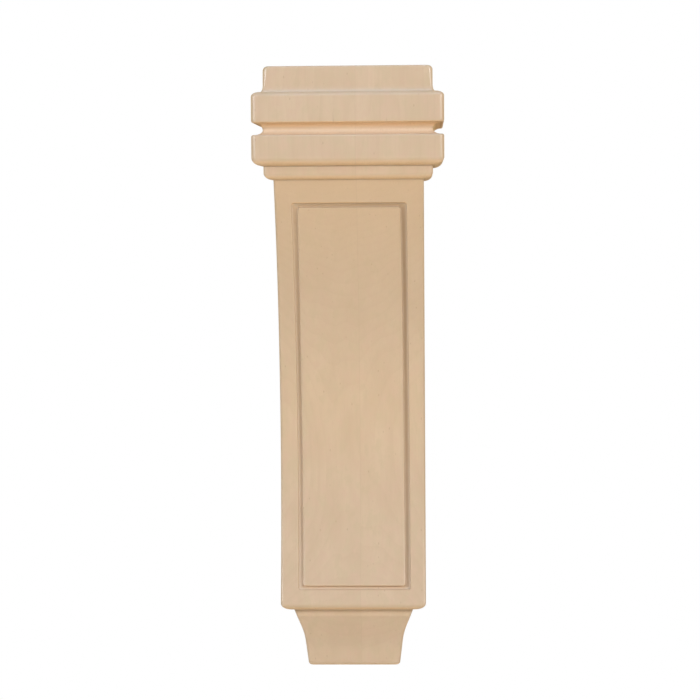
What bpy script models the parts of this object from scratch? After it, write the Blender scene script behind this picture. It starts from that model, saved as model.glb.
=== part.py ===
"""Wooden corbel with a banded crown, a concave panelled shaft and a coved foot.

One solid, machined from a single glued-up blank. It is described from the top down: every level of
the body is a plan outline with a flat back, two plain sides and a front, and the outlines are lofted
into one skin. A moulding profile is a run of (drop, inset) points: drop is how far the point lies
below the top, inset is how far it stands back from the face of the bands. The mouldings return on
both sides. On the front of the shaft the sweep is added to the inset, and it gives the concave face.
Only the foot differs: its front has a fillet above the cove, its sides are coved from the shaft down.

Frame: metres, +Z up, the front looks along -Y, the back lies on y = 0 and is fixed to the wall.
The origin is the centre of the back.
"""

import math

import bmesh
import bpy

# Crown: cap, upper band, flute, lower band and bed mould
CROWN_WIDTH = 0.178
CROWN_DEPTH = 0.203
CROWN_CORNER = 0.0057
CAP_CORNER_TOP = 0.0086
CAP_CORNER_FOOT = 0.004
CAP_HEIGHT = 0.0238
CAP_SETBACK = 0.0105
CAP_EDGE = 0.0015
CAP_COVE = 0.0025
BAND_HEIGHT = 0.0285
BAND_SHOULDER = 0.0046
BAND_LIP = 0.0018
BAND_ROUND = 0.0075
FLUTE_HEIGHT = 0.0112
FLUTE_UPPER = 0.0066
FLUTE_DEPTH = 0.0102
BED_HEIGHT = 0.0128
BED_SETBACK = 0.0105
BED_ROUND = 0.0065
BED_CORNER = 0.003

# Shaft, whose front is an arc that is deepest SWEEP_DROP below the shaft's top
SHAFT_HEIGHT = 0.4136
SHAFT_REVEAL = 0.0086
SHAFT_CORNER = 0.0025
SHAFT_ROUND = 0.007
SWEEP_DROP = 0.263
SWEEP_DEPTH = 0.072

# Groove that draws a panel on the shaft's front
PANEL_SIDE_MARGIN = 0.0159
PANEL_TOP_MARGIN = 0.0216
PANEL_BOTTOM_MARGIN = 0.0203
GROOVE_WIDTH = 0.0048
GROOVE_DEPTH = 0.0034

# Foot: its coves slope in, bend over COVE_BEND and end almost upright; the bend's middle lies
# FRONT_BEND_DROP below the fillet on the front and SIDE_BEND_DROP below the shaft on the sides
FOOT_SETBACK = 0.0122
FILLET_HEIGHT = 0.0066
COVE_HEIGHT = 0.051
COVE_SLOPE = 0.384
COVE_END_SLOPE = 0.123
COVE_BEND = 0.0153
FRONT_BEND_DROP = 0.029
SIDE_BEND_DROP = 0.0245
FOOT_EDGE = 0.003

# Fineness of the facets
EDGE_STEPS = 3
CORNER_STEPS = 4
ROUND_STEPS = 6
FLUTE_STEPS = 12
SWEEP_STEPS = 36
COVE_STEPS = 10

# A rounding takes at most this share of the wall that it softens
ROUND_SHARE = 0.8

# How far a cutter reaches past the face that it cuts
CUTTER_REACH = 0.01

# Maple: linear colour, roughness and metallic value
MAPLE_COLOUR = (0.665, 0.509, 0.356, 1.0)
MAPLE_ROUGHNESS = 0.5
MAPLE_METALLIC = 0.0

BAND_1_DROP = CAP_HEIGHT
FLUTE_DROP = BAND_1_DROP + BAND_HEIGHT
BAND_2_DROP = FLUTE_DROP + FLUTE_HEIGHT
BED_DROP = BAND_2_DROP + BAND_HEIGHT
SHAFT_DROP = BED_DROP + BED_HEIGHT
FOOT_DROP = SHAFT_DROP + SHAFT_HEIGHT
COVE_DROP = FOOT_DROP + FILLET_HEIGHT
TOTAL_HEIGHT = COVE_DROP + COVE_HEIGHT

SHAFT_INSET = BED_SETBACK + SHAFT_REVEAL
FOOT_INSET = SHAFT_INSET + FOOT_SETBACK
SWEEP_RADIUS = (SWEEP_DROP**2 + SWEEP_DEPTH**2) / (2 * SWEEP_DEPTH)


def clear_scene():
    """Removes the scene's objects."""
    for old in list(bpy.data.objects):
        bpy.data.objects.remove(old, do_unlink=True)


def new_collection(name):
    """A collection linked to the scene."""
    collection = bpy.data.collections.new(name)
    bpy.context.scene.collection.children.link(collection)
    return collection


def maple():
    """Pale sanded maple."""
    material = bpy.data.materials.new("maple")
    material.use_nodes = True
    shader = material.node_tree.nodes["Principled BSDF"]
    shader.inputs["Base Color"].default_value = MAPLE_COLOUR
    shader.inputs["Roughness"].default_value = MAPLE_ROUGHNESS
    shader.inputs["Metallic"].default_value = MAPLE_METALLIC
    return material


def turn(steps, end=math.pi / 2):
    """Angles from 0 to end, in equal steps."""
    return [end * i / steps for i in range(steps + 1)]


def sweep(drop):
    """How far the shaft's front lies behind its top edge, at a drop below the crown's top."""
    down = min(max(drop - SHAFT_DROP, 0.0), SHAFT_HEIGHT)
    return SWEEP_DEPTH - SWEEP_RADIUS + math.sqrt(SWEEP_RADIUS**2 - (down - SWEEP_DROP) ** 2)


def thumbnail(bottom, height, inset, width):
    """Quarter-ellipse rounding under a block: it ends at drop bottom, width further in."""
    return [
        (bottom - height * (1 - math.sin(a)), inset + width * (1 - math.cos(a)))
        for a in turn(ROUND_STEPS)
    ]


def cap_profile():
    """Cap block: eased top edge, upright face, and a cove that runs out over the upper band."""
    cove = min(CAP_COVE, ROUND_SHARE * CAP_SETBACK)
    edge = min(CAP_EDGE, ROUND_SHARE * (CAP_HEIGHT - cove))
    top = [(edge * (1 - math.cos(a)), CAP_SETBACK + edge * (1 - math.sin(a))) for a in turn(EDGE_STEPS)]
    centre_drop, centre_inset = CAP_HEIGHT - cove, CAP_SETBACK - cove
    hollow = [(centre_drop + cove * math.sin(a), centre_inset + cove * math.cos(a)) for a in turn(ROUND_STEPS)]
    return top + hollow


def bands_profile():
    """Upper band with a wide rounded shoulder, a flute between two eased lips, and the lower band.

    The flute is a quarter ellipse from its upper edge to its deepest line and a lower one from there on.
    """
    shelf = CAP_SETBACK - min(CAP_COVE, ROUND_SHARE * CAP_SETBACK)
    shoulder = min(BAND_SHOULDER, ROUND_SHARE * BAND_HEIGHT)
    lip = min(BAND_LIP, ROUND_SHARE * (BAND_HEIGHT - shoulder))
    hollow = FLUTE_DEPTH - lip
    upper = min(FLUTE_UPPER, ROUND_SHARE * FLUTE_HEIGHT)
    top = [
        (BAND_1_DROP + shoulder * (1 - math.cos(a)), shelf * (1 - math.sin(a)))
        for a in turn(ROUND_STEPS)
    ]
    upper_lip = [(FLUTE_DROP - lip * (1 - math.sin(a)), lip * (1 - math.cos(a))) for a in turn(EDGE_STEPS)]
    flute = []
    for a in turn(FLUTE_STEPS, math.pi):
        height = upper if a < math.pi / 2 else FLUTE_HEIGHT - upper
        flute.append((FLUTE_DROP + upper - height * math.cos(a), lip + hollow * math.sin(a)))
    lower_lip = [(BAND_2_DROP + lip * (1 - math.cos(a)), lip * (1 - math.sin(a))) for a in turn(EDGE_STEPS)]
    drop = min(BAND_ROUND, ROUND_SHARE * (BAND_HEIGHT - lip))
    return top + upper_lip + flute + lower_lip + thumbnail(BED_DROP, drop, 0.0, BED_SETBACK)


def bed_profile():
    """Bed mould: an upright face, rounded under to the shaft."""
    drop = min(BED_ROUND, ROUND_SHARE * BED_HEIGHT)
    return [(BED_DROP, BED_SETBACK)] + thumbnail(SHAFT_DROP, drop, BED_SETBACK, SHAFT_REVEAL)


def shaft_profile():
    """Plain sides at one inset, with a level at every facet of the sweep, rounded under to the foot."""
    drop = min(SHAFT_ROUND, ROUND_SHARE * SHAFT_HEIGHT)
    straight = SHAFT_HEIGHT - drop
    sides = [(SHAFT_DROP + straight * i / SWEEP_STEPS, SHAFT_INSET) for i in range(SWEEP_STEPS + 1)]
    return sides + thumbnail(FOOT_DROP, drop, SHAFT_INSET, FOOT_SETBACK)


def drawn_in(down, bend_drop):
    """How far a cove of the foot has drawn in at a height down from its top."""
    past = down - (bend_drop - COVE_BEND / 2)
    bent = min(max(past, 0.0), COVE_BEND)
    straightened = bent**2 / (2 * COVE_BEND) + max(past - COVE_BEND, 0.0)
    return COVE_SLOPE * down - (COVE_SLOPE - COVE_END_SLOPE) * straightened


def foot_profile():
    """Foot with an eased bottom edge, as (drop, side inset, front inset)."""
    edge = min(FOOT_EDGE, ROUND_SHARE * COVE_HEIGHT)
    straight = COVE_HEIGHT - edge
    uneased = [FOOT_DROP] + [COVE_DROP + straight * i / COVE_STEPS for i in range(COVE_STEPS + 1)]
    levels_and_ease = [(drop, 0.0) for drop in uneased]
    for a in turn(EDGE_STEPS)[1:]:
        levels_and_ease.append((TOTAL_HEIGHT - edge * (1 - math.sin(a)), edge * (1 - math.cos(a))))
    points = []
    for drop, ease in levels_and_ease:
        side = FOOT_INSET + drawn_in(drop - FOOT_DROP, SIDE_BEND_DROP)
        front = FOOT_INSET + drawn_in(max(drop - COVE_DROP, 0.0), FRONT_BEND_DROP)
        points.append((drop, side + ease, front + ease))
    return points


def returned(points):
    """Points of a moulding that returns: the inset of the front is also that of the sides."""
    return [(drop, inset, inset) for drop, inset in points]


def corner_radius(drop, inset, face, face_corner):
    """Radius of the front corners: less where the profile goes in, and rounder up the cap."""
    radius = max(SHAFT_CORNER, face_corner - (inset - face))
    if drop < BAND_1_DROP + BAND_SHOULDER:
        share = min(drop / CAP_HEIGHT, 1.0)
        radius = max(radius, CAP_CORNER_TOP + (CAP_CORNER_FOOT - CAP_CORNER_TOP) * share)
    return radius


def levels():
    """Every level of the body from the top down, as (drop, side inset, front inset, corner radius)."""
    runs = (
        (returned(cap_profile() + bands_profile()), CROWN_CORNER),
        (returned(bed_profile()), BED_CORNER),
        (returned(shaft_profile()) + foot_profile(), SHAFT_CORNER),
    )
    found = []
    for points, face_corner in runs:
        face = min(side for _, side, _ in points)
        for drop, side, front in points:
            if found and math.hypot(drop - found[-1][0], side - found[-1][1]) < 1e-6:
                continue
            found.append((drop, side, front, corner_radius(drop, side, face, face_corner)))
    return found


def outline(drop, side, front_inset, corner):
    """Plan outline of one level: square at the wall, rounded at the two front corners."""
    half = CROWN_WIDTH / 2 - side
    front = -(CROWN_DEPTH - front_inset - sweep(drop))
    height = TOTAL_HEIGHT / 2 - drop
    left = [
        (-half + corner * (1 - math.cos(a)), front + corner * (1 - math.sin(a)), height)
        for a in turn(CORNER_STEPS)
    ]
    right = [(-x, y, z) for x, y, z in reversed(left)]
    return [(-half, 0.0, height), *left, *right, (half, 0.0, height)]


def loft(name, rings):
    """Closed mesh through rings of the same number of points, capped at both ends."""
    bm = bmesh.new()
    rows = [[bm.verts.new(point) for point in ring] for ring in rings]
    count = len(rows[0])
    for upper, lower in zip(rows, rows[1:]):
        for i in range(count):
            j = (i + 1) % count
            bm.faces.new((upper[i], upper[j], lower[j], lower[i]))
    bm.faces.new(rows[0])
    bm.faces.new(rows[-1])
    bmesh.ops.recalc_face_normals(bm, faces=bm.faces)
    bmesh.ops.dissolve_limit(bm, angle_limit=math.radians(0.05), verts=bm.verts, edges=bm.edges)
    mesh = bpy.data.meshes.new(name)
    bm.to_mesh(mesh)
    bm.free()
    return bpy.data.objects.new(name, mesh)


def follower(name, half, top, bottom, front_reach, back_reach):
    """Block that follows the shaft's face from drop top to drop bottom, as wide as twice half."""
    between = [drop for drop, _ in shaft_profile() if top < drop < bottom]
    rings = []
    for drop in [top, *between, bottom]:
        face = -(CROWN_DEPTH - SHAFT_INSET - sweep(drop))
        height = TOTAL_HEIGHT / 2 - drop
        front, back = face - front_reach, face + back_reach
        rings.append([(-half, front, height), (-half, back, height), (half, back, height), (half, front, height)])
    return loft(name, rings)


def subtract(target, cutter, name):
    """Boolean difference, left live on the target."""
    cut = target.modifiers.new(name, "BOOLEAN")
    cut.operation = "DIFFERENCE"
    cut.solver = "EXACT"
    cut.object = cutter


def groove_cutter(cutters):
    """Frame-shaped cutter: a block that follows the face, less the panel's field."""
    half = CROWN_WIDTH / 2 - SHAFT_INSET - PANEL_SIDE_MARGIN
    top = SHAFT_DROP + PANEL_TOP_MARGIN
    bottom = FOOT_DROP - PANEL_BOTTOM_MARGIN
    frame = follower("groove_cutter", half, top, bottom, CUTTER_REACH, GROOVE_DEPTH)
    field = follower(
        "field_cutter",
        half - GROOVE_WIDTH,
        top + GROOVE_WIDTH,
        bottom - GROOVE_WIDTH,
        2 * CUTTER_REACH,
        GROOVE_DEPTH + CUTTER_REACH,
    )
    for cutter in (frame, field):
        cutter.hide_render = True
        cutter.display_type = "WIRE"
        cutters.objects.link(cutter)
    subtract(frame, field, "leave field")
    return frame


def build_corbel(parts, cutters):
    """The whole corbel as one solid, with the panel groove cut in its front."""
    body = loft("corbel", [outline(*level) for level in levels()])
    body.data.materials.append(maple())
    body.data.shade_smooth()
    body.data.set_sharp_from_angle(angle=math.radians(30))
    parts.objects.link(body)
    subtract(body, groove_cutter(cutters), "panel groove")
    return body


clear_scene()
build_corbel(new_collection("corbel_parts"), new_collection("cutters"))
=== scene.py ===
"""Looks of the tall corbel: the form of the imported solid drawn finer, in fine-sanded maple.

The wood is one closed skin, worked out as a grid with a row for every level from the top down and a
column for every place round the plan outline. A moulding profile is a run of (drop, side inset, front
inset) points, as in the solid: drop is how far a point lies below the top, inset is how far it stands
back from the face of the bands. The panel groove is then pressed into the front of the shaft.

Units are metres: +Z is up, the front looks along -Y, the back lies on y = 0.
"""

import math

import bpy
import numpy as np
from mathutils import Matrix, Vector


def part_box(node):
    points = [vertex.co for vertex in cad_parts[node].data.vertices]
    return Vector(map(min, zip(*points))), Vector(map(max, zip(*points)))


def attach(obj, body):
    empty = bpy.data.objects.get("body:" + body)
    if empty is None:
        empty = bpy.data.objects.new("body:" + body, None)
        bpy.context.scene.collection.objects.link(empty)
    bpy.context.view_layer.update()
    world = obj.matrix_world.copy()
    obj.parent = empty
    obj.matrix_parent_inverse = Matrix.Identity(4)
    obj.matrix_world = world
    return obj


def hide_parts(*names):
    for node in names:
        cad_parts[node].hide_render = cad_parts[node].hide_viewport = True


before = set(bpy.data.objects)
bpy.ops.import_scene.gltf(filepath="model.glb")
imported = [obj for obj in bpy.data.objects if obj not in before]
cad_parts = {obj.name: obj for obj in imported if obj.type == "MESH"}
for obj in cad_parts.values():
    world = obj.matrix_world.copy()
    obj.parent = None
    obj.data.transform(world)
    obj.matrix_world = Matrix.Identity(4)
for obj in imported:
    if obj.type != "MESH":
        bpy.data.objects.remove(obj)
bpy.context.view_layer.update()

LOW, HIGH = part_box("corbel")

# Overall sizes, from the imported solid
TOP = HIGH.z
HEIGHT = HIGH.z - LOW.z
CROWN_HALF = HIGH.x
CROWN_DEPTH = -LOW.y

# Crown, from the top down; a corner is the radius of an upright edge
CAP_HEIGHT = 0.0238
CAP_SETBACK = 0.0105
CAP_EDGE = 0.0015
CAP_COVE = 0.0025
CAP_COVE_HEIGHT = 0.006
CAP_SIDE_EDGE = 0.0042
CAP_CORNER_TOP = 0.005
CAP_CORNER_FOOT = 0.002
BAND_HEIGHT = 0.0285
BAND_SHOULDER = 0.0046
BAND_LIP = 0.0018
BAND_ROUND = 0.0075
BAND_CORNER = 0.0048
FLUTE_HEIGHT = 0.0112
FLUTE_UPPER = 0.0066
FLUTE_DEPTH = 0.0102
BED_HEIGHT = 0.0128
BED_SETBACK = 0.0105
BED_ROUND = 0.0065
BED_CORNER = 0.003

# Shaft: its front is an arc that is deepest SWEEP_DROP below the shaft's top, and its lower end is
# rounded under, in front by RAIL_UNDERCUT of what the sides have
SHAFT_HEIGHT = 0.4136
SHAFT_REVEAL = 0.0086
SHAFT_CORNER = 0.0025
SHAFT_ROUND = 0.007
RAIL_UNDERCUT = 0.95
SWEEP_DROP = 0.263
SWEEP_DEPTH = 0.072

# Panel groove: its bottom falls from a crisp outer edge, where it already has LEFT_OUTER_DEPTH or
# OUTER_DEPTH of its full depth, to a steep inner wall, and the field's edge is sanded over, wide on the
# left and narrow at the top and the bottom. The side runs narrow downwards, the left one more, and the
# panel stands a hair askew, from PANEL_SHIFT_TOP to PANEL_SHIFT_BOTTOM
PANEL_SIDE_MARGIN = 0.0159
PANEL_TOP_MARGIN = 0.0216
PANEL_BOTTOM_MARGIN = 0.0197
PANEL_SHIFT_TOP = -0.0002
PANEL_SHIFT_BOTTOM = 0.0013
LEFT_TOP_WIDTH = 0.0062
LEFT_WIDTH = 0.0046
RIGHT_TOP_WIDTH = 0.0061
RIGHT_WIDTH = 0.0054
GROOVE_NARROWING = 0.17
GROOVE_TOP_WIDTH = 0.0042
GROOVE_BOTTOM_WIDTH = 0.0037
LEFT_DEPTH = 0.003
RIGHT_DEPTH = 0.0036
LEFT_OUTER_DEPTH = 0.62
OUTER_DEPTH = 0.88
GROOVE_WALL = 0.0006
GROOVE_LIP = 0.0003
GROOVE_TURN = 0.0022
SHOULDER_LEFT = 0.0045
SHOULDER_RIGHT = 0.0026
SHOULDER_ENDS = 0.0014
SHOULDER_DEPTH = 0.0005

# Share of painted shade, a darker colour laid where the groove's shade falls, in each run of the groove,
# where the run is RIGHT_DEPTH deep
LEFT_GROOVE_SHADE = 0.1
RIGHT_GROOVE_SHADE = 0.35
TOP_GROOVE_SHADE = 0.65
BOTTOM_GROOVE_SHADE = 0.05

# Foot: its coves slope in, bend over COVE_BEND and end almost upright; the bend's middle lies
# FRONT_BEND_DROP below the fillet on the front and SIDE_BEND_DROP below the shaft on the sides
FOOT_SETBACK = 0.0122
FILLET_HEIGHT = 0.0066
COVE_SLOPE = 0.384
COVE_END_SLOPE = 0.123
COVE_BEND = 0.0153
FRONT_BEND_DROP = 0.029
SIDE_BEND_DROP = 0.0245
FOOT_EDGE = 0.003
FILLET_EASE = 0.0003

# Drops of the parts below the top
BAND_1_DROP = CAP_HEIGHT
FLUTE_DROP = BAND_1_DROP + BAND_HEIGHT
BAND_2_DROP = FLUTE_DROP + FLUTE_HEIGHT
BED_DROP = BAND_2_DROP + BAND_HEIGHT
SHAFT_DROP = BED_DROP + BED_HEIGHT
FOOT_DROP = SHAFT_DROP + SHAFT_HEIGHT
COVE_DROP = FOOT_DROP + FILLET_HEIGHT
SHAFT_INSET = BED_SETBACK + SHAFT_REVEAL
FOOT_INSET = SHAFT_INSET + FOOT_SETBACK
SWEEP_RADIUS = (SWEEP_DROP**2 + SWEEP_DEPTH**2) / (2 * SWEEP_DEPTH)
PANEL_TOP = SHAFT_DROP + PANEL_TOP_MARGIN
PANEL_BOTTOM = FOOT_DROP - PANEL_BOTTOM_MARGIN
PANEL_HALF = CROWN_HALF - SHAFT_INSET - PANEL_SIDE_MARGIN

# Fineness of the skin: columns keep GROOVE_CLEAR outside the groove, and points closer than SAME_PLACE
# count as one
ROUND_STEPS = 12
LIP_STEPS = 6
FLUTE_STEPS = 28
CORNER_STEPS = 10
SIDE_STEPS = 14
BACK_STEPS = 3
LEVEL_SPACING = 0.0032
FIELD_STEPS = 14
MARGIN_STEPS = 4
GROOVE_CLEAR = 0.003
SAME_PLACE = 1e-6

# Eased back edge, the flat strips inside the edges of the back and of the sawn ends, and the angle
# from which an edge is drawn crisp
BACK_EASE = 0.0008
BACK_BAND = 0.006
TOP_BAND = 0.004
SHARP_ANGLE = math.radians(38)

# Blank: four boards glued up, with these joints between them; a joint's line fades out between the two
# JOINT_EDGES from its middle, and each board's figure is shifted upright by BOARD_SHIFT more
SIDE_JOINT = 0.0072
DEPTH_JOINT = -0.1015
JOINT_EDGES = (0.00012, 0.00035)
BOARD_SHIFT = 1.37

# Figure of the wood: where the tree's heart stood, how wide its rings are and how far they sway, then
# the size of each mark across and along the grain
HEART = (0.006, -0.36, 0.0)
RING_WIDTH = 0.0036
RING_SWAY = 0.016
RING_RIPPLE = 0.0016
SWAY_SIZE = (0.05, 0.05, 0.22)
RIPPLE_SIZE = (0.009, 0.009, 0.05)
FINE_SIZE = (0.00045, 0.00045, 0.012)
STREAK_SIZE = (0.0017, 0.0017, 0.045)
BAND_SIZE = (0.011, 0.011, 0.19)
FLECK_SIZE = (0.0052, 0.0052, 0.013)
CLOUD_SIZE = (0.028, 0.028, 0.06)
HUE_SIZE = (0.010, 0.010, 0.017)
HUE_SHIFT = (3.1, 1.7, 0.9)
PORE_SIZE = (0.0009, 0.0009, 0.0016)

# Mineral streak in the upper band
MINERAL_X = -0.0124
MINERAL_LENGTH = 0.014
MINERAL_EDGES = (0.0002, 0.0008)
MINERAL_WANDER = 0.0012
WANDER_SIZE = (0.002, 0.002, 0.004)

# Painted shade under the crown: a darker, browner colour on the upper shaft, none at the first height, all of
# it at the second, ended by the crown
SHADE_HEIGHTS = (-0.06, 0.15)
SHADE_END = (0.182, 0.186)
SHADE_SHARE = 0.4

# Finish: satin sheen, roughness from smooth to rough streaks, and the depth of the fibres
SHEEN = 0.75
ROUGHNESS = (0.31, 0.41)
FIBRE_DEPTH = 0.00012
FIBRE_STRENGTH = 0.35

# Camera, fitted to the edges in the photograph
CAMERA_DISTANCE = 2.1
CAMERA_HEIGHT = 0.159
CAMERA_TARGET_X = 0.0010
CAMERA_AZIMUTH = math.radians(1.92)
CAMERA_PITCH = math.radians(3.63)
CAMERA_ROLL = math.radians(-0.41)
CAMERA_LENS = 117.05
SENSOR_WIDTH = 36.0
CAMERA_RANGE = (0.05, 60.0)

# Floor and the white that the camera sees around the corbel
FLOOR_DROP = 0.45
FLOOR_HALF = 9.0
FLOOR_GREY = (0.7, 0.7, 0.7, 1)
WHITE = (1, 1, 1, 1)

# Lights: place, size, power and colour of each soft box, all turned to the crown, and how bright the
# room is
LIGHT_AIM = (0.0, -0.15, 0.12)
SOFT_BOXES = (
    ("left_box", (-1.76, -1.68, 0.72), (0.75, 0.42), 24.7, (0.93, 1.0, 1.09)),
    ("right_box", (1.76, -1.68, 0.72), (0.75, 0.42), 26.3, (1.01, 0.99, 0.98)),
    ("top_box", (0.0, -0.9, 2.2), (1.0, 1.0), 13.0, (0.35, 0.6, 1.0)),
    ("lower_box", (0.0, -2.2, -0.68), (1.2, 0.5), 6.0, (1.0, 0.6, 0.2)),
)
ROOM_BEHIND = (0.48, 0.33, 0.03, 1)
ROOM_AHEAD = (0.34, 0.35, 0.367, 1)


def turn(steps, end=math.pi / 2):
    """Angles from 0 to end in equal steps."""
    return np.linspace(0.0, end, steps + 1)


def run(drop, side, front=None):
    """Profile points as rows of (drop, side inset, front inset), the same inset if only one is given."""
    return np.column_stack(np.broadcast_arrays(drop, side, side if front is None else front))


def thumbnail(bottom, height, inset, width):
    """Quarter ellipse under a block: height above its lower end and width further in at that end."""
    a = turn(ROUND_STEPS)
    return run(bottom - height * (1 - np.sin(a)), inset + width * (1 - np.cos(a)))


def cap_profile():
    """Flat top, eased edge, upright face, then a shallow cove that runs out over the band.

    The top edge is eased by CAP_EDGE on the front and by CAP_SIDE_EDGE on the sides.
    """
    flat = run(0.0, CAP_SETBACK + CAP_SIDE_EDGE + np.array([TOP_BAND]), CAP_SETBACK + CAP_EDGE + TOP_BAND)
    a = turn(2 * LIP_STEPS)
    drop = CAP_SIDE_EDGE * (1 - np.cos(a))
    above = np.maximum(CAP_EDGE - drop, 0)
    front_ease = CAP_EDGE - np.sqrt(CAP_EDGE**2 - above**2)
    edge = run(drop, CAP_SETBACK + CAP_SIDE_EDGE * (1 - np.sin(a)), CAP_SETBACK + front_ease)
    a = turn(ROUND_STEPS)
    cove = run(
        CAP_HEIGHT - CAP_COVE_HEIGHT * (1 - np.sin(a)), CAP_SETBACK - CAP_COVE * (1 - np.cos(a))
    )
    return np.concatenate([flat, edge, cove])


def bands_profile():
    """Upper band with a wide rounded shoulder, flute between two eased lips, lower band.

    The flute is a quarter ellipse down to its deepest line, FLUTE_UPPER below its upper edge, and a
    lower quarter ellipse from there to its lower edge.
    """
    shelf = CAP_SETBACK - CAP_COVE
    a = turn(ROUND_STEPS)
    top = run(BAND_1_DROP + BAND_SHOULDER * (1 - np.cos(a)), shelf * (1 - np.sin(a)))
    a = turn(LIP_STEPS)
    upper_lip = run(FLUTE_DROP - BAND_LIP * (1 - np.sin(a)), BAND_LIP * (1 - np.cos(a)))
    lower_lip = run(BAND_2_DROP + BAND_LIP * (1 - np.cos(a)), BAND_LIP * (1 - np.sin(a)))
    a = turn(FLUTE_STEPS, math.pi)
    half_height = np.where(a < math.pi / 2, FLUTE_UPPER, FLUTE_HEIGHT - FLUTE_UPPER)
    flute = run(
        FLUTE_DROP + FLUTE_UPPER - half_height * np.cos(a), BAND_LIP + (FLUTE_DEPTH - BAND_LIP) * np.sin(a)
    )
    under = thumbnail(BED_DROP, BAND_ROUND, 0.0, BED_SETBACK)
    return np.concatenate([top, upper_lip, flute, lower_lip, under])


def bed_profile():
    """Bed mould: an upright face, rounded under to the shaft."""
    return np.concatenate(
        [run(BED_DROP, np.array([BED_SETBACK])), thumbnail(SHAFT_DROP, BED_ROUND, BED_SETBACK, SHAFT_REVEAL)]
    )


def shaft_profile():
    """Straight sides, rounded under, with extra levels where the groove's runs cross the front.

    On the front the rounding takes in only RAIL_UNDERCUT of the step to the foot: the rest is flat.
    """
    straight_end = FOOT_DROP - SHAFT_ROUND
    levels = np.concatenate([
        [SHAFT_DROP, straight_end],
        PANEL_TOP + groove_places(GROOVE_TOP_WIDTH, SHOULDER_ENDS),
        PANEL_BOTTOM - groove_places(GROOVE_BOTTOM_WIDTH, SHOULDER_ENDS),
    ])
    straight = run(np.sort(levels), SHAFT_INSET)
    rounded = thumbnail(FOOT_DROP, SHAFT_ROUND, SHAFT_INSET, FOOT_SETBACK)
    rounded[:, 2] = SHAFT_INSET + RAIL_UNDERCUT * (rounded[:, 1] - SHAFT_INSET)
    return np.concatenate([straight, rounded])


def drawn_in(down, bend_drop):
    """How far a cove of the foot has drawn in at a height down from its top."""
    past = down - (bend_drop - COVE_BEND / 2)
    bent = np.clip(past, 0, COVE_BEND)
    straightened = bent**2 / (2 * COVE_BEND) + np.maximum(past - COVE_BEND, 0)
    return COVE_SLOPE * down - (COVE_SLOPE - COVE_END_SLOPE) * straightened


def foot_profile():
    """Foot: a fillet on the front alone, coves, an eased bottom edge and a flat underside."""
    a = turn(LIP_STEPS)
    cove = np.linspace(COVE_DROP, HEIGHT - FOOT_EDGE, 2 * ROUND_STEPS)[:-1]
    upper = np.concatenate([
        [FOOT_DROP, COVE_DROP - FILLET_EASE, COVE_DROP, COVE_DROP + FILLET_EASE],
        cove[1:],
    ])
    drop = np.concatenate([upper, HEIGHT - FOOT_EDGE * (1 - np.sin(a)), [HEIGHT]])
    ease = np.concatenate([0 * upper, FOOT_EDGE * (1 - np.cos(a)), [FOOT_EDGE + TOP_BAND]])
    side = FOOT_INSET + drawn_in(drop - FOOT_DROP, SIDE_BEND_DROP) + ease
    front = FOOT_INSET + drawn_in(np.maximum(drop - COVE_DROP, 0), FRONT_BEND_DROP) + ease
    return run(drop, side, front)


def groove_places(width, shoulder):
    """Distances inside the groove's outer edge where a column or level is needed, closest at its edges."""
    lip = GROOVE_LIP * np.array([-5, -1, -0.4, 0.4, 1, 2])
    bottom = 2 * GROOVE_LIP + (width - GROOVE_WALL - 2 * GROOVE_LIP) * np.array([0.3, 0.6, 0.85, 1])
    wall = width + GROOVE_WALL * np.array([-0.75, -0.5, -0.25, 0])
    over = width + shoulder * np.array([0.04, 0.1, 0.2, 0.35, 0.5, 0.75, 1, 1.3])
    return np.concatenate([lip, bottom, wall, over])


def densified(points, spacing):
    """The same profile with points added by straight lines, so that none lies further than spacing on."""
    step = np.hypot(*np.diff(points[:, :2], axis=0).T)
    points = points[np.concatenate([[True], step > SAME_PLACE])]
    along = np.concatenate([[0.0], np.cumsum(np.hypot(*np.diff(points[:, :2], axis=0).T))])
    parts = np.maximum(1, np.ceil(np.diff(along) / spacing)).astype(int)
    first = np.repeat(along[:-1], parts)
    within = np.arange(parts.sum()) - np.repeat(np.cumsum(parts) - parts, parts)
    places = np.append(first + within * np.repeat(np.diff(along) / parts, parts), along[-1])
    return run(*(np.interp(places, along, column) for column in points.T))


def levels():
    """Drop, side inset, front inset and corner radius of every level, from the top down.

    A corner shrinks as much as the profile goes in, down to the shaft's corner. The cap's corner is
    sanded rounder towards the top.
    """
    runs = (
        (np.concatenate([cap_profile(), bands_profile()]), BAND_CORNER),
        (bed_profile(), BED_CORNER),
        (np.concatenate([shaft_profile(), foot_profile()]), SHAFT_CORNER),
    )
    found = []
    for points, face_corner in runs:
        points = densified(points, LEVEL_SPACING)
        side = points[:, 1]
        corner = np.maximum(SHAFT_CORNER, face_corner - (side - side.min()))
        found.append(np.column_stack([points, corner]))
    rows = np.concatenate(found)
    on_cap = rows[:, 0] < BAND_1_DROP + BAND_SHOULDER
    cap_corner = CAP_CORNER_TOP + (CAP_CORNER_FOOT - CAP_CORNER_TOP) * np.clip(rows[:, 0] / CAP_HEIGHT, 0, 1)
    rows[on_cap, 3] = np.maximum(rows[on_cap, 3], cap_corner[on_cap])
    return rows.T


def sweep(drop):
    """How far the shaft's front lies behind its top edge: a circular arc, deepest at SWEEP_DROP."""
    down = np.clip(drop - SHAFT_DROP, 0.0, SHAFT_HEIGHT)
    return SWEEP_DEPTH - SWEEP_RADIUS + np.sqrt(SWEEP_RADIUS**2 - (down - SWEEP_DROP) ** 2)


def side_run_width(drop, top_width, width):
    """Width of one of the groove's side runs: it narrows from the panel's top over GROOVE_NARROWING."""
    share = np.clip((drop - PANEL_TOP) / GROOVE_NARROWING, 0, 1)
    return top_width + (width - top_width) * share * (2 - share)


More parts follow.
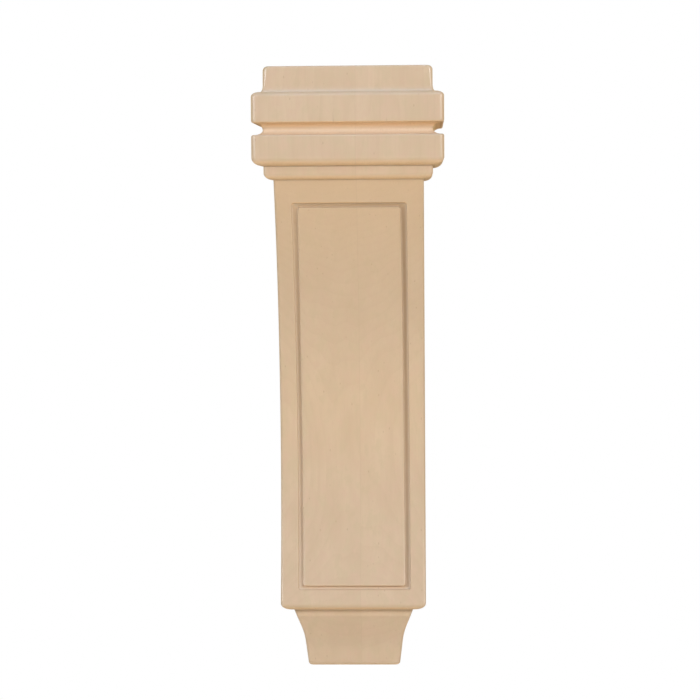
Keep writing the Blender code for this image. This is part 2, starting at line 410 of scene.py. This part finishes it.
def panel_shift(drop):
    """How far the panel's middle lies right of the corbel's middle at one level."""
    share = np.clip((drop - PANEL_TOP) / (PANEL_BOTTOM - PANEL_TOP), 0, 1)
    return PANEL_SHIFT_TOP + (PANEL_SHIFT_BOTTOM - PANEL_SHIFT_TOP) * share


def front_shares(drop):
    """Places across the front at one level, from -1 to 1, dense where the groove's side runs are."""
    half = CROWN_HALF - SHAFT_INSET
    shift = panel_shift(drop)
    left_run = PANEL_HALF - shift, side_run_width(drop, LEFT_TOP_WIDTH, LEFT_WIDTH)
    right_run = PANEL_HALF + shift, side_run_width(drop, RIGHT_TOP_WIDTH, RIGHT_WIDTH)
    sides = []
    for outer, width in (left_run, right_run):
        margin = np.linspace(half - SHAFT_CORNER, outer + GROOVE_CLEAR, MARGIN_STEPS)
        groove = outer - groove_places(width, SHOULDER_LEFT)
        field = np.linspace(groove[-1], 0, FIELD_STEPS)[1:]
        sides.append(np.concatenate([margin, groove, field]) / (half - SHAFT_CORNER))
    left, right = sides
    return np.concatenate([-left, right[::-1][1:]])


def plan_columns(drop, half, front, corner):
    """x and y of every column at every level, and how many columns come before those of the front.

    Half of the outline runs from the back, round an eased back edge, along the straight side, round
    the front corner by a quarter circle and across the front; the other half is its mirror image.
    """
    a, b = turn(BACK_STEPS), turn(CORNER_STEPS)
    share = np.linspace(0, 1, SIDE_STEPS + 1)[1:-1]
    zero = np.zeros_like(half)
    x = np.hstack([
        -(half - BACK_BAND),
        -(half - BACK_EASE) - BACK_EASE * np.sin(a),
        -half + 0 * share,
        -half + corner * (1 - np.cos(b)),
    ])
    y = np.hstack([
        zero,
        zero - BACK_EASE * (1 - np.cos(a)),
        -BACK_EASE + (front + corner + BACK_EASE) * share,
        front + corner * (1 - np.sin(b)),
    ])
    across = (half - corner) * np.stack([front_shares(level)[1:-1] for level in drop[:, 0]])
    return np.hstack([x, across, -x[:, ::-1]]), np.hstack([y, front + 0 * across, y[:, ::-1]]), x.shape[1]


def rounded_box(x, z, half_x, half_z, radius):
    """Signed distance to a rectangle with rounded corners: below zero inside it."""
    over_x, over_z = np.abs(x) - half_x + radius, np.abs(z) - half_z + radius
    outside = np.hypot(np.maximum(over_x, 0), np.maximum(over_z, 0))
    return outside + np.minimum(np.maximum(over_x, over_z), 0) - radius


def groove_depth(x, drop):
    """How deep the panel groove lies under the face, and the share of painted shade there.

    From outside in: a small eased lip, a bottom that falls to its deepest line, a steep wall, and a
    shoulder that runs out on the panel's field as a parabola.
    """
    x = x - panel_shift(drop)
    on_left = x < 0
    left_width = side_run_width(drop, LEFT_TOP_WIDTH, LEFT_WIDTH)
    right_width = side_run_width(drop, RIGHT_TOP_WIDTH, RIGHT_WIDTH)
    half_field = PANEL_HALF - np.where(on_left, left_width, right_width)
    inner_top, inner_bottom = PANEL_TOP + GROOVE_TOP_WIDTH, PANEL_BOTTOM - GROOVE_BOTTOM_WIDTH
    from_middle, inner_half = drop - (inner_top + inner_bottom) / 2, (inner_bottom - inner_top) / 2
    inside = -rounded_box(
        x, drop - (PANEL_TOP + PANEL_BOTTOM) / 2, PANEL_HALF, (PANEL_BOTTOM - PANEL_TOP) / 2, GROOVE_TURN
    )
    past_field = rounded_box(x, from_middle, half_field, inner_half, GROOVE_TURN)
    on_side = half_field - np.abs(x) < inner_half - np.abs(from_middle)

    rise = np.clip((inside + GROOVE_LIP) / (3 * GROOVE_LIP), 0, 1)
    outer = rise * rise * (3 - 2 * rise)
    share = np.clip(inside / np.maximum(inside + past_field - GROOVE_WALL, SAME_PLACE), 0, 1)
    outer_depth = np.where(on_side & on_left, LEFT_OUTER_DEPTH, OUTER_DEPTH)
    middle_share = np.clip(0.5 + x / (2 * PANEL_HALF), 0, 1)
    deepest = LEFT_DEPTH + (RIGHT_DEPTH - LEFT_DEPTH) * middle_share
    bottom = deepest * (outer_depth + (1 - outer_depth) * share)
    up_wall = np.clip(past_field / GROOVE_WALL, 0, 1)
    reach = np.where(on_side, np.where(on_left, SHOULDER_LEFT, SHOULDER_RIGHT), SHOULDER_ENDS)
    shoulder = SHOULDER_DEPTH * np.clip(1 + past_field / reach, 0, 1) ** 2
    depth = outer * np.where(past_field > 0, SHOULDER_DEPTH + (bottom - SHOULDER_DEPTH) * up_wall, shoulder)
    # Painted shade: the share of darker colour grows with the groove's depth and differs from run to run
    side_shade = np.where(on_left, LEFT_GROOVE_SHADE, RIGHT_GROOVE_SHADE)
    end_shade = np.where(from_middle < 0, TOP_GROOVE_SHADE, BOTTOM_GROOVE_SHADE)
    return depth, depth / RIGHT_DEPTH * np.where(on_side, side_shade, end_shade)


def bend_of(points):
    """Bend of the skin at every grid point, in 1/m: above zero on edges, below zero in hollows.

    Along each grid direction it is how fast the unit normal turns towards the tangent, over the
    tangent's length; the two directions are added.
    """
    along = np.gradient(points, axis=1)
    down = np.gradient(points, axis=0)
    normal = np.cross(along, down)
    normal /= np.maximum(np.linalg.norm(normal, axis=2, keepdims=True), 1e-12)
    total = 0.0
    for axis, tangent in ((1, along), (0, down)):
        length = np.maximum((tangent**2).sum(2), 1e-12)
        total = total + (np.gradient(normal, axis=axis) * tangent).sum(2) / length
    return total


def corbel_skin():
    """Mesh of the whole corbel.

    Every level of the profile gives one ring of columns at z = top - drop. On the front of the shaft
    y is the inset plus the sweep plus the groove's depth. Rings are joined by quads, and the first and
    last ring are closed by strips from side to side.
    """
    drop, side, front_inset, corner = (v[:, None] for v in levels())
    half = CROWN_HALF - side
    front = -(CROWN_DEPTH - front_inset - sweep(drop))
    x, y, first_front = plan_columns(drop, half, front, corner)
    rows, columns = x.shape
    z = TOP - drop + 0 * x
    on_front = slice(first_front, columns - first_front)
    groove, shade_in_groove = groove_depth(x[:, on_front], drop)
    y[:, on_front] += groove
    # Painted shade in the groove, kept at each point of the skin as a value that the material reads
    groove_shade = 0 * x
    groove_shade[:, on_front] = shade_in_groove
    points = np.stack([x, y, z], axis=2)

    i = np.arange(rows - 1)[:, None] * columns
    j = np.arange(columns)
    k = (j + 1) % columns
    quads = np.stack([i + j, i + columns + j, i + columns + k, i + k], axis=2).reshape(-1, 4)
    faces = quads.tolist() + cap_faces(0, columns, first_front, False)
    faces += cap_faces((rows - 1) * columns, columns, first_front, True)

    mesh = bpy.data.meshes.new("corbel_wood")
    mesh.from_pydata(points.reshape(-1, 3).tolist(), [], faces)
    for name, values in (("bend", bend_of(points)), ("groove_shade", groove_shade)):
        attribute = mesh.attributes.new(name, "FLOAT", "POINT")
        attribute.data.foreach_set("value", values.reshape(-1).astype(np.float32))
    mesh.shade_smooth()
    mesh.set_sharp_from_angle(angle=SHARP_ANGLE)
    mesh.validate()
    return mesh


def cap_faces(start, columns, first_front, flipped):
    """Faces that close one ring: strips from a left column to its mirror image, with the back and
    the front edge taken in by the first and the last strip."""
    left = np.arange(2, first_front - 2)
    strips = np.stack([left, left + 1, columns - 2 - left, columns - 1 - left], axis=1).tolist()
    strips.append([0, 1, 2, columns - 3, columns - 2, columns - 1])
    strips.append(list(range(first_front - 2, columns - first_front + 2)))
    faces = [[start + c for c in strip] for strip in strips]
    return [face[::-1] for face in faces] if flipped else faces


class Wiring:
    """Adds nodes to one tree and joins them: a socket gets a link if it is given an output."""

    def __init__(self, tree):
        self.tree = tree

    def add(self, kind, sockets=(), **settings):
        """A new node with these settings, and its sockets joined up or given their values."""
        node = self.tree.nodes.new(kind)
        for name, value in settings.items():
            setattr(node, name, value)
        for key, value in dict(sockets).items():
            if isinstance(value, bpy.types.NodeSocket):
                self.tree.links.new(value, node.inputs[key])
            else:
                node.inputs[key].default_value = value
        return node

    def math(self, operation, a, b=0.0):
        """One sum, product or comparison of two values."""
        return self.add("ShaderNodeMath", {0: a, 1: b}, operation=operation).outputs[0]

    def mix(self, share, a, b):
        """Colour a with a share of colour b laid over it."""
        return self.add("ShaderNodeMix", {0: share, 6: a, 7: b}, data_type="RGBA").outputs[2]

    def spread(self, value, low, high, to_low=0.0, to_high=1.0):
        """The value's range from low to high, brought to another range and held inside it."""
        sockets = {0: value, 1: low, 2: high, 3: to_low, 4: to_high}
        return self.add("ShaderNodeMapRange", sockets, interpolation_type="SMOOTHSTEP").outputs[0]

    def stretched(self, place, size):
        """Coordinates in which a feature of this size in metres, along x, y and z, is one unit."""
        scale = tuple(1 / s for s in size)
        return self.add("ShaderNodeMapping", {0: place, 3: scale}, vector_type="POINT").outputs[0]

    def noise(self, place, size, detail=2.0, roughness=0.5):
        """Soft noise whose marks have this size in metres along x, y and z."""
        sockets = {"Vector": self.stretched(place, size), "Scale": 1.0}
        sockets.update({"Detail": detail, "Roughness": roughness})
        return self.add("ShaderNodeTexNoise", sockets).outputs[0]


def new_group(name, inputs, outputs):
    """Empty shader node group with named sockets; gives the group, its wiring, its inputs and outputs."""
    group = bpy.data.node_groups.new(name, "ShaderNodeTree")
    for socket, kind in inputs.items():
        group.interface.new_socket(socket, in_out="INPUT", socket_type=kind)
    for socket, kind in outputs.items():
        group.interface.new_socket(socket, in_out="OUTPUT", socket_type=kind)
    wiring = Wiring(group)
    return group, wiring, wiring.add("NodeGroupInput").outputs, wiring.add("NodeGroupOutput").inputs


FLOAT, VECTOR, COLOUR = "NodeSocketFloat", "NodeSocketVector", "NodeSocketColor"


def board_places():
    """Group: shifts the coordinates on each board of the blank, so that figure stops at a joint.

    Joint is 1 in the thin line between two boards.
    """
    group, w, given, out = new_group(
        "board_places", {"Place": VECTOR}, {"Place on board": VECTOR, "Joint": FLOAT}
    )
    parts = w.add("ShaderNodeSeparateXYZ", {0: given["Place"]}).outputs
    right = w.math("GREATER_THAN", parts[0], SIDE_JOINT)
    behind = w.math("GREATER_THAN", parts[1], DEPTH_JOINT)
    board = w.math("ADD", right, w.math("MULTIPLY", behind, 2.0))
    lift = w.math("MULTIPLY", board, BOARD_SHIFT)
    shift = w.add("ShaderNodeCombineXYZ", {0: 0.0, 1: 0.0, 2: lift}).outputs[0]
    moved = w.add("ShaderNodeVectorMath", {0: given["Place"], 1: shift}, operation="ADD").outputs[0]
    from_side = w.math("ABSOLUTE", w.math("SUBTRACT", parts[0], SIDE_JOINT))
    from_depth = w.math("ABSOLUTE", w.math("SUBTRACT", parts[1], DEPTH_JOINT))
    line = w.spread(w.math("MINIMUM", from_side, from_depth), *JOINT_EDGES, 1.0, 0.0)
    w.tree.links.new(moved, out["Place on board"])
    w.tree.links.new(line, out["Joint"])
    return group


def growth_rings():
    """Group: growth rings of a board, as a soft sawtooth of the distance from the tree's heart.

    The heart stands upright in front of the corbel, so that the rings draw arches where the sweep
    cuts through them. Wide slow noise bends them.
    """
    group, w, given, out = new_group("growth_rings", {"Place": VECTOR}, {"Late wood": FLOAT})
    from_heart = w.add("ShaderNodeVectorMath", {0: given["Place"], 1: HEART}, operation="SUBTRACT")
    parts = w.add("ShaderNodeSeparateXYZ", {0: from_heart.outputs[0]}).outputs
    flat = w.add("ShaderNodeCombineXYZ", {0: parts[0], 1: parts[1], 2: 0.0}).outputs[0]
    distance = w.add("ShaderNodeVectorMath", {0: flat}, operation="LENGTH").outputs["Value"]
    sway = w.noise(given["Place"], SWAY_SIZE, 1.0)
    ripple = w.noise(given["Place"], RIPPLE_SIZE, 2.0)
    bent = w.math("ADD", distance, w.math("MULTIPLY", sway, RING_SWAY))
    bent = w.math("ADD", bent, w.math("MULTIPLY", ripple, RING_RIPPLE))
    saw = w.math("FRACT", w.math("DIVIDE", bent, RING_WIDTH))
    late = w.math("MULTIPLY", w.math("POWER", saw, 3.0), w.spread(saw, 0.93, 1.0, 1.0, 0.0))
    w.tree.links.new(late, out["Late wood"])
    return group


def fibres():
    """Group: streaks that run upright, from fine fibre to wide bands, and short dark flecks."""
    group, w, given, out = new_group(
        "fibres", {"Place": VECTOR}, {"Fine": FLOAT, "Streak": FLOAT, "Band": FLOAT, "Fleck": FLOAT}
    )
    place = given["Place"]
    w.tree.links.new(w.noise(place, FINE_SIZE, 3.0, 0.6), out["Fine"])
    w.tree.links.new(w.noise(place, STREAK_SIZE, 3.0, 0.55), out["Streak"])
    w.tree.links.new(w.noise(place, BAND_SIZE, 2.0), out["Band"])
    cells = w.add("ShaderNodeTexVoronoi", {"Vector": w.stretched(place, FLECK_SIZE), "Scale": 1.0}).outputs
    pick = w.add("ShaderNodeSeparateColor", {0: cells["Color"]}).outputs[0]
    near = w.spread(cells["Distance"], 0.05, 0.13, 1.0, 0.0)
    w.tree.links.new(w.math("MULTIPLY", near, w.math("GREATER_THAN", pick, 0.62)), out["Fleck"])
    return group


def clouds():
    """Group: wide soft patches, one for lighter and darker wood and one for rosy and olive wood."""
    group, w, given, out = new_group("clouds", {"Place": VECTOR}, {"Light": FLOAT, "Hue": FLOAT})
    w.tree.links.new(w.noise(given["Place"], CLOUD_SIZE, 3.0, 0.55), out["Light"])
    moved = w.add("ShaderNodeVectorMath", {0: given["Place"], 1: HUE_SHIFT}, operation="ADD").outputs[0]
    w.tree.links.new(w.noise(moved, HUE_SIZE, 3.0, 0.6), out["Hue"])
    return group


def end_grain():
    """Group: where the cut crosses the fibres, from the upright part of the normal, and its pores.

    Under is where a rounding faces down, which the material colours with painted warm light; flute is the
    lower part of the flute, which it paints lighter as painted light; flat is the sawn top and bottom.
    """
    group, w, given, out = new_group(
        "end_grain",
        {"Place": VECTOR, "Normal": VECTOR},
        {"Under": FLOAT, "Flute": FLOAT, "Flat": FLOAT, "Pore": FLOAT},
    )
    upright = w.add("ShaderNodeSeparateXYZ", {0: given["Normal"]}).outputs[2]
    flat = w.spread(w.math("ABSOLUTE", upright), 0.985, 0.999)
    pores = w.noise(given["Place"], PORE_SIZE, 2.0, 0.6)
    w.tree.links.new(w.spread(upright, -0.25, -0.9), out["Under"])
    height = w.add("ShaderNodeSeparateXYZ", {0: given["Place"]}).outputs[2]
    above = w.math("GREATER_THAN", height, TOP - BAND_2_DROP)
    below = w.math("LESS_THAN", height, TOP - FLUTE_DROP)
    in_flute = w.math("MULTIPLY", above, below)
    w.tree.links.new(w.math("MULTIPLY", w.spread(upright, -0.5, 0.05), in_flute), out["Flute"])
    w.tree.links.new(flat, out["Flat"])
    w.tree.links.new(w.spread(pores, 0.5, 0.7), out["Pore"])
    return group


def mineral_streak():
    """Group: one thin dark streak that rises from the flute into the upper band and fades out."""
    group, w, given, out = new_group("mineral_streak", {"Place": VECTOR}, {"Share": FLOAT})
    parts = w.add("ShaderNodeSeparateXYZ", {0: given["Place"]}).outputs
    wander = w.math("MULTIPLY", w.noise(given["Place"], WANDER_SIZE, 1.0), MINERAL_WANDER)
    aside = w.math("ABSOLUTE", w.math("SUBTRACT", w.math("ADD", parts[0], wander), MINERAL_X))
    line = w.spread(aside, *MINERAL_EDGES, 1.0, 0.0)
    end = TOP - FLUTE_DROP
    rising = w.math("MULTIPLY", w.spread(parts[2], end, end + MINERAL_LENGTH, 1.0, 0.0), line)
    w.tree.links.new(w.math("MULTIPLY", rising, w.math("GREATER_THAN", parts[2], end)), out["Share"])
    return group


def edges():
    """Group: sanded edges, from the skin's own bend in 1/m; the material paints them paler, partly as wear
    and partly as a painted highlight.
    """
    group, w, given, out = new_group("edges", {"Bend": FLOAT}, {"Worn edge and highlight": FLOAT})
    w.tree.links.new(w.spread(given["Bend"], 60.0, 420.0), out["Worn edge and highlight"])
    return group


# Colours of the wood, and of the painted light and shade laid on it
CREAM = (0.662, 0.505, 0.354, 1)
TAN = (0.585, 0.432, 0.290, 1)
ROSY = (0.650, 0.472, 0.338, 1)
OLIVE = (0.610, 0.478, 0.318, 1)
LATE_WOOD = (0.560, 0.400, 0.262, 1)
FLECK = (0.430, 0.285, 0.170, 1)
JOINT_LINE = (0.450, 0.310, 0.190, 1)
UNDER_PAINTED_LIGHT = (0.920, 0.630, 0.365, 1)
FLUTE_PAINTED_LIGHT = (0.840, 0.655, 0.485, 1)
GROOVE_PAINTED_SHADE = (0.420, 0.300, 0.185, 1)
PAINTED_SHAFT_SHADE = (0.585, 0.425, 0.262, 1)
SAWN_WOOD = (0.600, 0.440, 0.290, 1)
PORE = (0.520, 0.330, 0.180, 1)
EDGE_WEAR_AND_HIGHLIGHT = (0.740, 0.630, 0.510, 1)


def sanded_maple():
    """Material: pale maple, colour laid on from wide patches to fine fibre, then end grain, painted light and
    shade, and edges.
    """
    material = bpy.data.materials.new("sanded_maple")
    material.use_nodes = True
    w = Wiring(material.node_tree)
    shader = material.node_tree.nodes["Principled BSDF"]

    def grouped(made, sockets):
        """Outputs of a group whose inputs are joined up as sockets says."""
        node = w.add("ShaderNodeGroup", node_tree=made)
        for key, value in sockets.items():
            w.tree.links.new(value, node.inputs[key])
        return node.outputs

    def skin_value(name):
        """One of the values that the skin holds at its points."""
        return w.add("ShaderNodeAttribute", attribute_name=name).outputs["Fac"]

    coordinates = w.add("ShaderNodeTexCoord").outputs
    here, normal = coordinates["Object"], coordinates["Normal"]
    board = grouped(board_places(), {"Place": here})
    place = board["Place on board"]
    rings = grouped(growth_rings(), {"Place": place})
    fibre = grouped(fibres(), {"Place": place})
    cloud = grouped(clouds(), {"Place": place})
    grain = grouped(end_grain(), {"Place": here, "Normal": normal})
    mineral = grouped(mineral_streak(), {"Place": here})
    edge = grouped(edges(), {"Bend": skin_value("bend")})

    height = w.add("ShaderNodeSeparateXYZ", {0: here}).outputs[2]
    shade = w.math("MULTIPLY", w.spread(height, *SHADE_HEIGHTS), w.spread(height, *SHADE_END, 1.0, 0.0))
    across = w.math("ADD", grain["Under"], grain["Flute"])
    pores = w.math("MULTIPLY", across, grain["Pore"])

    layers = (
        (w.spread(cloud["Light"], 0.3, 0.7, 0.0, 0.6), TAN),
        (w.spread(cloud["Hue"], 0.5, 0.66, 0.0, 0.75), ROSY),
        (w.spread(cloud["Hue"], 0.5, 0.34, 0.0, 0.75), OLIVE),
        (w.spread(fibre["Band"], 0.35, 0.7, 0.0, 0.22), TAN),
        # Painted shade: darker colour on the upper shaft, under the crown
        (w.math("MULTIPLY", shade, SHADE_SHARE), PAINTED_SHAFT_SHADE),
        (w.math("MULTIPLY", rings["Late wood"], 0.24), LATE_WOOD),
        (w.spread(fibre["Streak"], 0.42, 0.72, 0.0, 0.14), LATE_WOOD),
        (w.spread(fibre["Fine"], 0.45, 0.75, 0.0, 0.13), LATE_WOOD),
        (w.math("MULTIPLY", fibre["Fleck"], 0.5), FLECK),
        # Painted light: a warm colour, brighter than the ground, on roundings that face down, standing in for
        # light from below
        (w.math("MULTIPLY", grain["Under"], 0.8), UNDER_PAINTED_LIGHT),
        # Painted light: a lighter colour on the lower part of the flute, where light reaches in under the
        # upper band
        (w.math("MULTIPLY", grain["Flute"], 0.65), FLUTE_PAINTED_LIGHT),
        (w.math("MULTIPLY", grain["Flat"], 0.85), SAWN_WOOD),
        # Painted shade: darker colour in the panel groove, where its shade falls
        (skin_value("groove_shade"), GROOVE_PAINTED_SHADE),
        (w.math("MULTIPLY", pores, 0.35), PORE),
        (w.math("MULTIPLY", board["Joint"], 0.18), JOINT_LINE),
        (w.math("MULTIPLY", mineral["Share"], 0.35), FLECK),
        # Sanded edges, paler partly from wear and partly as a painted highlight on convex edges
        (w.math("MULTIPLY", edge["Worn edge and highlight"], 0.35), EDGE_WEAR_AND_HIGHLIGHT),
    )
    colour = CREAM
    for share, wood in layers:
        colour = w.mix(share, colour, wood)
    w.tree.links.new(colour, shader.inputs["Base Color"])

    shader.inputs["Specular IOR Level"].default_value = SHEEN
    rough = w.spread(fibre["Streak"], 0.3, 0.7, *ROUGHNESS)
    looks_up = w.add("ShaderNodeSeparateXYZ", {0: normal}).outputs[2]
    rougher = (
        w.math("MULTIPLY", across, 0.1),
        w.spread(looks_up, 0.1, 0.7, 0.0, 0.18),
        w.math("MULTIPLY", grain["Flat"], 0.3),
    )
    for more in rougher:
        rough = w.math("ADD", rough, more)
    w.tree.links.new(rough, shader.inputs["Roughness"])

    relief = w.math("MULTIPLY", fibre["Fine"], 0.6)
    for mark, rise in ((fibre["Streak"], 0.5), (fibre["Fleck"], -0.5), (pores, -0.4), (board["Joint"], -0.5)):
        relief = w.math("ADD", relief, w.math("MULTIPLY", mark, rise))
    bump = w.add("ShaderNodeBump", {"Strength": FIBRE_STRENGTH, "Distance": FIBRE_DEPTH, "Height": relief})
    w.tree.links.new(bump.outputs[0], shader.inputs["Normal"])
    return material


def floor_material():
    """Material of the floor: matt pale grey for the light that falls on it, white where it is looked at."""
    material = bpy.data.materials.new("pale_floor")
    material.use_nodes = True
    w = Wiring(material.node_tree)
    nodes = material.node_tree.nodes
    shader = nodes["Principled BSDF"]
    shader.inputs["Base Color"].default_value = FLOOR_GREY
    shader.inputs["Roughness"].default_value = 0.8
    white = w.add("ShaderNodeEmission", {0: WHITE, 1: 1.0}).outputs[0]
    by_camera = w.add("ShaderNodeLightPath").outputs["Is Camera Ray"]
    seen = w.add("ShaderNodeMixShader", {0: by_camera, 1: shader.outputs[0], 2: white}).outputs[0]
    w.tree.links.new(seen, nodes["Material Output"].inputs["Surface"])
    return material


def link(obj):
    """The object, put in the scene."""
    bpy.context.scene.collection.objects.link(obj)
    return obj


def dress_corbel():
    """The finished corbel: the finer skin in maple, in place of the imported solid."""
    mesh = corbel_skin()
    mesh.materials.append(sanded_maple())
    wood = link(bpy.data.objects.new("corbel_wood", mesh))
    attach(wood, "root")
    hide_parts("corbel")
    return wood


def lay_floor():
    """Plain pale floor, a flat square well below the foot."""
    z = LOW.z - FLOOR_DROP
    quarters = ((-1, -1), (1, -1), (1, 1), (-1, 1))
    corners = [(FLOOR_HALF * east, FLOOR_HALF * north, z) for east, north in quarters]
    mesh = bpy.data.meshes.new("floor")
    mesh.from_pydata(corners, [], [(0, 1, 2, 3)])
    mesh.materials.append(floor_material())
    floor = link(bpy.data.objects.new("floor", mesh))


def area_light(name, place, aim, size, power, colour):
    """Soft rectangular light at place, turned to aim, not seen by the camera."""
    data = bpy.data.lights.new(name, "AREA")
    data.shape = "RECTANGLE"
    data.size, data.size_y = size
    data.energy = power
    data.color = colour
    light = link(bpy.data.objects.new(name, data))
    light.location = place
    light.rotation_euler = (Vector(aim) - Vector(place)).to_track_quat("-Z", "Y").to_euler()
    light.visible_camera = False


def light_studio():
    """Soft boxes at the sides, above and low in front, in a white room.

    The room is white where the camera sees it. It lights the object with less: with ROOM_AHEAD from
    the camera's side, and with the warmer ROOM_BEHIND from the wall's side.
    """
    for name, place, size, power, colour in SOFT_BOXES:
        area_light(name, place, LIGHT_AIM, size, power, colour)
    world = bpy.data.worlds.new("studio")
    bpy.context.scene.world = world
    world.use_nodes = True
    w = Wiring(world.node_tree)
    world.node_tree.nodes.clear()
    seen = w.add("ShaderNodeBackground", {0: WHITE, 1: 1.0}).outputs[0]
    behind = w.add("ShaderNodeSeparateXYZ", {0: w.add("ShaderNodeTexCoord").outputs["Generated"]}).outputs[1]
    room = w.mix(w.spread(behind, -1.0, 1.0), ROOM_AHEAD, ROOM_BEHIND)
    lit = w.add("ShaderNodeBackground", {0: room, 1: 1.0}).outputs[0]
    by_camera = w.add("ShaderNodeLightPath").outputs["Is Camera Ray"]
    both = w.add("ShaderNodeMixShader", {0: by_camera, 1: lit, 2: seen}).outputs[0]
    w.add("ShaderNodeOutputWorld", {0: both})


def photo_camera():
    """Camera where the photograph was taken from: before the crown, a little to the right, tipped down."""
    azimuth, pitch, roll = CAMERA_AZIMUTH, CAMERA_PITCH, CAMERA_ROLL
    place = Vector((
        CAMERA_TARGET_X + CAMERA_DISTANCE * math.sin(azimuth),
        -CROWN_DEPTH - CAMERA_DISTANCE * math.cos(azimuth),
        CAMERA_HEIGHT,
    ))
    ahead = Vector((
        -math.sin(azimuth) * math.cos(pitch), math.cos(azimuth) * math.cos(pitch), -math.sin(pitch)
    ))
    right = Vector((math.cos(azimuth), math.sin(azimuth), 0))
    up = right.cross(ahead)
    turned_right = right * math.cos(roll) + up * math.sin(roll)
    turned_up = up * math.cos(roll) - right * math.sin(roll)
    data = bpy.data.cameras.new("camera")
    data.lens = CAMERA_LENS
    data.sensor_width = SENSOR_WIDTH
    data.clip_start, data.clip_end = CAMERA_RANGE
    camera = link(bpy.data.objects.new("camera", data))
    axes = Matrix((turned_right, turned_up, -ahead)).transposed().to_4x4()
    camera.matrix_world = Matrix.Translation(place) @ axes
    bpy.context.scene.camera = camera


photo_camera()
dress_corbel()
lay_floor()
light_studio()
bpy.context.scene.view_settings.view_transform = "Standard"
